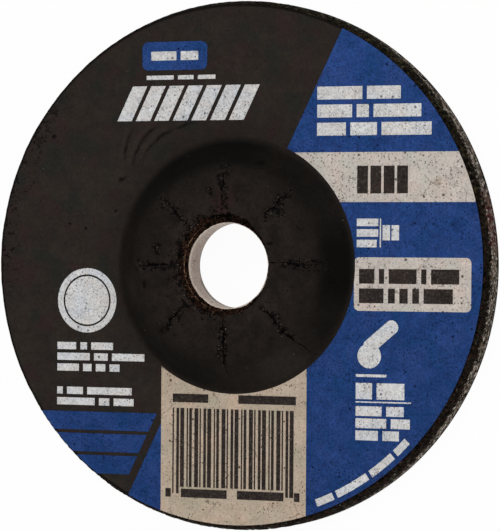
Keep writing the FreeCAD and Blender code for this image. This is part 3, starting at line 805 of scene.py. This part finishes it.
def scattered_grains():
    """Places and sizes of the grains that stand proud."""
    rng = np.random.default_rng(21)
    places, sizes = [], []

    def add(x, y, z, size):
        places.append((x, y, z))
        sizes.append(size)

    for _ in range(BORE_GRAINS):
        a = rng.uniform(0, 2 * math.pi)
        ragged = 0.75 + 0.5 * float(noise1([a * 10], 2.0, 31)[0])
        r = BORE_RADIUS + 0.3 + abs(rng.normal(0, 0.75)) * ragged
        size = rng.uniform(0.05, 0.15)
        if rng.uniform() < float(paper_reach(math.degrees(a))):
            continue
        level = BODY_HUB + rng.uniform(-0.06, 0.08)
        add(BORE_SHIFT[0] + r * math.cos(a), BORE_SHIFT[1] + r * math.sin(a), level, size)
    for index, slit in enumerate(SLITS):
        for _ in range(CRACK_GRAINS):
            r = rng.uniform(slit.start - 0.4, slit.end)
            off = float(slit_centre(index, np.array([r]))[0]) + rng.normal(0, 0.3)
            a = math.radians(slit.angle) + off / r
            size = rng.uniform(0.05, 0.14)
            level = float(body_height(r)) + rng.uniform(-0.02, 0.1)
            add(r * math.cos(a), r * math.sin(a), level, size)
    for _ in range(RIM_GRAINS):
        a = rng.uniform(0, 2 * math.pi)
        z = rng.uniform(0.4, 5.6)
        r = WHEEL_RADIUS - 0.12 - max(0.0, z - 4.3) * 0.55
        size = rng.uniform(0.08, 0.24)
        if z > 3.6 and rng.uniform() > float(rim_roughness(math.degrees(a))):
            continue
        r -= size * 0.8
        add(r * math.cos(a), r * math.sin(a), z, size)
    return np.array(places), np.array(sizes)


def build_body():
    rings = body_rings()
    quads, tris = ring_faces(rings)
    points = displaced_body(rings)
    grain_points, grain_faces = grains(*scattered_grains(), 5)
    ring_count = sum(len(q) for q in quads) + sum(len(t) for t in tris)
    tris.append(grain_faces + len(points))
    points = np.concatenate([points, grain_points])
    piece = make_piece("abrasive_body", points, quads, tris, GRIT, ring_count)
    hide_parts("abrasive_wheel")
    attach(piece, "root")


# ------------------------ steel ring

def build_ring():
    profile = rounded_profile([
        (RING_RADIUS - RING_GAP, FLANGE_TOP + 0.3, 0),
        (RING_RADIUS - RING_GAP, RING_TOP, 0.12),
        (BORE_RADIUS - 0.06, RING_TOP, 0.12),
        (BORE_RADIUS, RING_TOP - 0.5, 0.3),
        (BORE_RADIUS, RECESS_FLOOR, 0.12),
        (FLANGE_RADIUS - 0.05, RECESS_FLOOR, 0.1),
        (FLANGE_RADIUS - 0.05, FLANGE_TOP - 0.02, 0.1),
        (RING_RADIUS - RING_GAP, FLANGE_TOP - 0.02, 0)], step=0.3)
    rings = [circle(r, z, SLEEVE_POINTS) for r, z in profile]
    quads, tris = ring_faces(rings + [rings[0]])
    points = np.concatenate(rings)
    total = len(points)
    quads = [q % total for q in quads]
    radius = np.hypot(points[:, 0], points[:, 1])
    outward = points[:, :2] / radius[:, None]
    lip = smooth((points[:, 2] - RING_TOP + 0.5) / 0.4)
    dent = 0.012 * noise(points, 2.0, 41) + lip * 0.03 * noise(points, 0.9, 42)
    points[:, :2] += outward * (np.abs(dent) * (radius < RING_RADIUS - 0.3))[:, None]
    points[:, 2] -= lip * np.abs(0.05 * noise(points, 1.4, 43))
    points[:, 0] += RING_SHIFT
    piece = make_piece("bore_sleeve", points, quads, tris, STEEL)
    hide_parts("bore_ring")
    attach(piece, "root")


# ------------------------ paper label

def label_rows():
    """Radii of the paper's rows, from its edge in to the hole."""
    outer = list(np.arange(LABEL_RADIUS - 0.3, 25.0, -0.75))
    slope = list(np.arange(24.6, 17.6, -0.32))
    flat = list(np.arange(17.4, LABEL_HOLE_RADIUS + 0.12, -0.235))
    return [LABEL_RADIUS] + outer + slope + flat + [LABEL_HOLE_RADIUS]


def row_angles(radius):
    """Angles of a row's points, sector by sector between the cracks."""
    t = np.arange(COLUMNS) / (COLUMNS - 1)
    spread = 0.5 * t + 0.5 * (0.5 - 0.5 * np.cos(math.pi * t))
    here = np.array([radius])
    edges = []
    for index, slit in enumerate(SLITS):
        centre = math.radians(slit.angle) + float(slit_centre(index, here)[0]) / radius
        left = float(slit_half(index, here, 0)[0]) / radius
        right = float(slit_half(index, here, 1)[0]) / radius
        edges.append((centre - left, centre + right))
    first = edges[0]
    edges.append((first[0] + 2 * math.pi, first[1]))
    return np.concatenate([low + (high - low) * spread for (_, low), (high, _) in zip(edges, edges[1:])])


def frayed(angles, radius):
    """Radii of a row's points, ragged at the paper's edge and at its hole."""
    turned = np.stack([np.cos(angles), np.sin(angles), angles * 0], 1)
    r = np.full(len(angles), float(radius))
    if radius == LABEL_RADIUS:
        around = turned * radius
        r += 0.06 + 0.05 * noise(around, 3.0, 51) + 0.04 * noise(around, 0.9, 52)
    if radius < LABEL_HOLE_RADIUS + HOLE_FRAY:
        around = turned * LABEL_HOLE_RADIUS
        ragged = 0.22 + 0.34 * noise(around, 2.2, 53) + 0.34 * noise(around, 0.8, 54)
        ragged += 0.16 * noise(around, 0.35, 55)
        reach = paper_reach(np.degrees(angles))
        ragged = np.clip(ragged, 0.0, 0.85) * (1.0 - 0.6 * np.clip(reach, 0.0, 1.0)) - reach
        r += ragged * smooth((LABEL_HOLE_RADIUS + HOLE_FRAY - radius) / HOLE_FRAY)
    return r


def pressed_height(points):
    """Height of the paper's points: pressed into the grit of the hub, into the cracks and at the edge."""
    axis_radius = np.hypot(points[:, 0], points[:, 1])
    z = paper_height(axis_radius)
    crack = np.zeros(len(points))
    for index, slit in enumerate(SLITS):
        a = math.radians(slit.angle)
        along = points[:, 0] * math.cos(a) + points[:, 1] * math.sin(a)
        across = -points[:, 0] * math.sin(a) + points[:, 1] * math.cos(a)
        across -= slit_centre(index, np.maximum(along, 0.0))
        near = np.exp(-(across / 0.45) ** 2) * (along > 0) * smooth((along - slit.start + 1.2) / 1.2)
        crack = np.maximum(crack, near * smooth((slit.end + 1.6 - along) / 1.6))
    flat = smooth((24.6 - axis_radius) / 1.5)
    dip = 0.03 + 0.03 * noise(points, 1.4, 61) + 0.02 * noise(points, 0.6, 62)
    dip += crack * (0.05 + 0.06 * noise(points, 0.5, 63))
    z -= np.clip(dip, 0.0, 0.18) * flat
    edge = smooth((axis_radius - 48.3) / 0.7)
    return z - edge * np.clip(0.05 + 0.06 * noise(points, 1.6, 64), 0.0, 0.14)


def build_label():
    rings, skips = [], []
    for radius in label_rows():
        angles = row_angles(radius)
        r = frayed(angles, radius)
        rings.append(np.stack([LABEL_CENTRE[0] + r * np.cos(angles), LABEL_CENTRE[1] + r * np.sin(angles),
                               np.zeros(len(angles))], 1))
        gaps = np.zeros(len(angles), bool)
        for index, slit in enumerate(SLITS):
            gaps[index * COLUMNS - 1] = radius < slit.end
        skips.append(gaps)
    skips = [here | after for here, after in zip(skips, skips[1:])]
    quads, tris = ring_faces(rings, skips)
    points = np.concatenate(rings)
    points[:, 2] = pressed_height(points)
    piece = make_piece("paper_label", points, quads, tris, BLACK)
    work = bmesh.new()
    work.from_mesh(piece.data)
    bmesh.ops.remove_doubles(work, verts=work.verts, dist=1e-7)
    bmesh.ops.recalc_face_normals(work, faces=work.faces)
    if sum(face.normal.z for face in work.faces) < 0:
        bmesh.ops.reverse_faces(work, faces=work.faces)
    work.to_mesh(piece.data)
    work.free()
    thick = piece.modifiers.new("thickness", "SOLIDIFY")
    thick.thickness = SHEET * MM
    thick.offset = -1.0
    thick.use_even_offset = False
    bpy.context.view_layer.update()
    depsgraph = bpy.context.evaluated_depsgraph_get()
    solid = bpy.data.meshes.new_from_object(piece.evaluated_get(depsgraph))
    piece.modifiers.clear()
    piece.data = solid
    piece.data.name = "paper_label"
    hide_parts("label")
    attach(piece, "root")


build_body()
build_ring()
build_label()

for node, material in INKS.items():
    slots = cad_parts[node].data.materials
    slots.clear()
    slots.append(material)


# ------------------------ stage, in metres

WHITE = (1.0, 1.0, 1.0, 1.0)
FLOOR_HALF = 3.0
FLOOR_DROP = 0.00005          # keeps the floor clear of the work face
FLOOR_GREY = (0.82, 0.82, 0.82, 1.0)
FLOOR_GLOW = 0.96             # share of white on the rays that show the background
WORLD_FILL = 0.45
LIGHT_AIM = (0, 0, 0.005)
LIGHTS = (                    # name, place, size, watts
    ("top_light", (-0.12, 0.32, 0.62), 0.5, 2.0),
    ("front_light", (0.10, -0.56, 0.20), 0.45, 1.9),
    ("side_light", (0.42, 0.36, 0.30), 0.3, 0.9))
# The camera that was fitted to the photo
TILT = math.radians(22.45)    # off the wheel's axis, towards +X
DISTANCE = 0.530
FITTED_MIDDLE = (0, 0, 0.006)
AIM_OFF = (0.00292, 0.000009)  # how far right of the middle and how far up it aims
FOCAL_PIXELS = 2816.65
FRAME_PIXELS = 531.0          # the frame's longer side
SENSOR = 36.0


def shown_rays(tree):
    """1 on the rays that show the white background: the camera's, mirrored ones and those through glass."""
    path = add_node(tree, "LightPath").outputs
    shown = path["Is Camera Ray"]
    for kind in ("Is Glossy Ray", "Is Transmission Ray"):
        shown = add_node(tree, "Math", {0: shown, 1: path[kind]}, operation="MAXIMUM").outputs[0]
    return shown


def cleared_tree(owner):
    owner.use_nodes = True
    owner.node_tree.nodes.clear()
    return owner.node_tree


def build_stage():
    mesh = bpy.data.meshes.new("floor")
    corners = [(x * FLOOR_HALF, y * FLOOR_HALF, -FLOOR_DROP) for x, y in ((-1, -1), (1, -1), (1, 1), (-1, 1))]
    mesh.from_pydata(corners, [], [(0, 1, 2, 3)])
    floor = bpy.data.objects.new("floor", mesh)
    bpy.context.scene.collection.objects.link(floor)
    material = bpy.data.materials.new("pale_floor")
    tree = cleared_tree(material)
    share = add_node(tree, "Math", {0: shown_rays(tree), 1: FLOOR_GLOW}, operation="MULTIPLY").outputs[0]
    grey = add_node(tree, "BsdfDiffuse", {"Color": FLOOR_GREY}).outputs[0]
    glow = add_node(tree, "Emission", {"Color": WHITE}).outputs[0]
    mixed = add_node(tree, "MixShader", {0: share, 1: grey, 2: glow}).outputs[0]
    add_node(tree, "OutputMaterial", {0: mixed})
    mesh.materials.append(material)


def build_world():
    world = bpy.data.worlds.new("studio")
    bpy.context.scene.world = world
    tree = cleared_tree(world)
    fill = add_node(tree, "Background", {"Color": WHITE, "Strength": WORLD_FILL}).outputs[0]
    white = add_node(tree, "Background", {"Color": WHITE}).outputs[0]
    mixed = add_node(tree, "MixShader", {0: shown_rays(tree), 1: fill, 2: white}).outputs[0]
    add_node(tree, "OutputWorld", {0: mixed})


def area_light(name, place, size, watts):
    data = bpy.data.lights.new(name, "AREA")
    data.shape = "DISK"
    data.size = size
    data.energy = watts
    light = bpy.data.objects.new(name, data)
    light.location = place
    light.rotation_euler = (Vector(LIGHT_AIM) - Vector(place)).to_track_quat("-Z", "Y").to_euler()
    bpy.context.scene.collection.objects.link(light)


def build_camera():
    data = bpy.data.cameras.new("camera")
    data.sensor_width = SENSOR
    data.lens = FOCAL_PIXELS / FRAME_PIXELS * SENSOR
    data.clip_start = 0.05
    data.clip_end = 10.0
    middle = Vector(FITTED_MIDDLE)
    across = Vector((math.cos(TILT), 0, -math.sin(TILT)))
    camera = bpy.data.objects.new("camera", data)
    camera.location = middle + DISTANCE * Vector((math.sin(TILT), 0, math.cos(TILT)))
    aim = middle + AIM_OFF[0] * across + Vector((0, AIM_OFF[1], 0))
    back = (camera.location - aim).normalized()
    right = Vector((0, 1, 0)).cross(back).normalized()
    camera.rotation_euler = Matrix((right, back.cross(right), back)).transposed().to_euler()
    bpy.context.scene.collection.objects.link(camera)
    bpy.context.scene.camera = camera


build_stage()
build_world()
for light in LIGHTS:
    area_light(*light)
build_camera()
bpy.context.scene.view_settings.view_transform = "Standard"
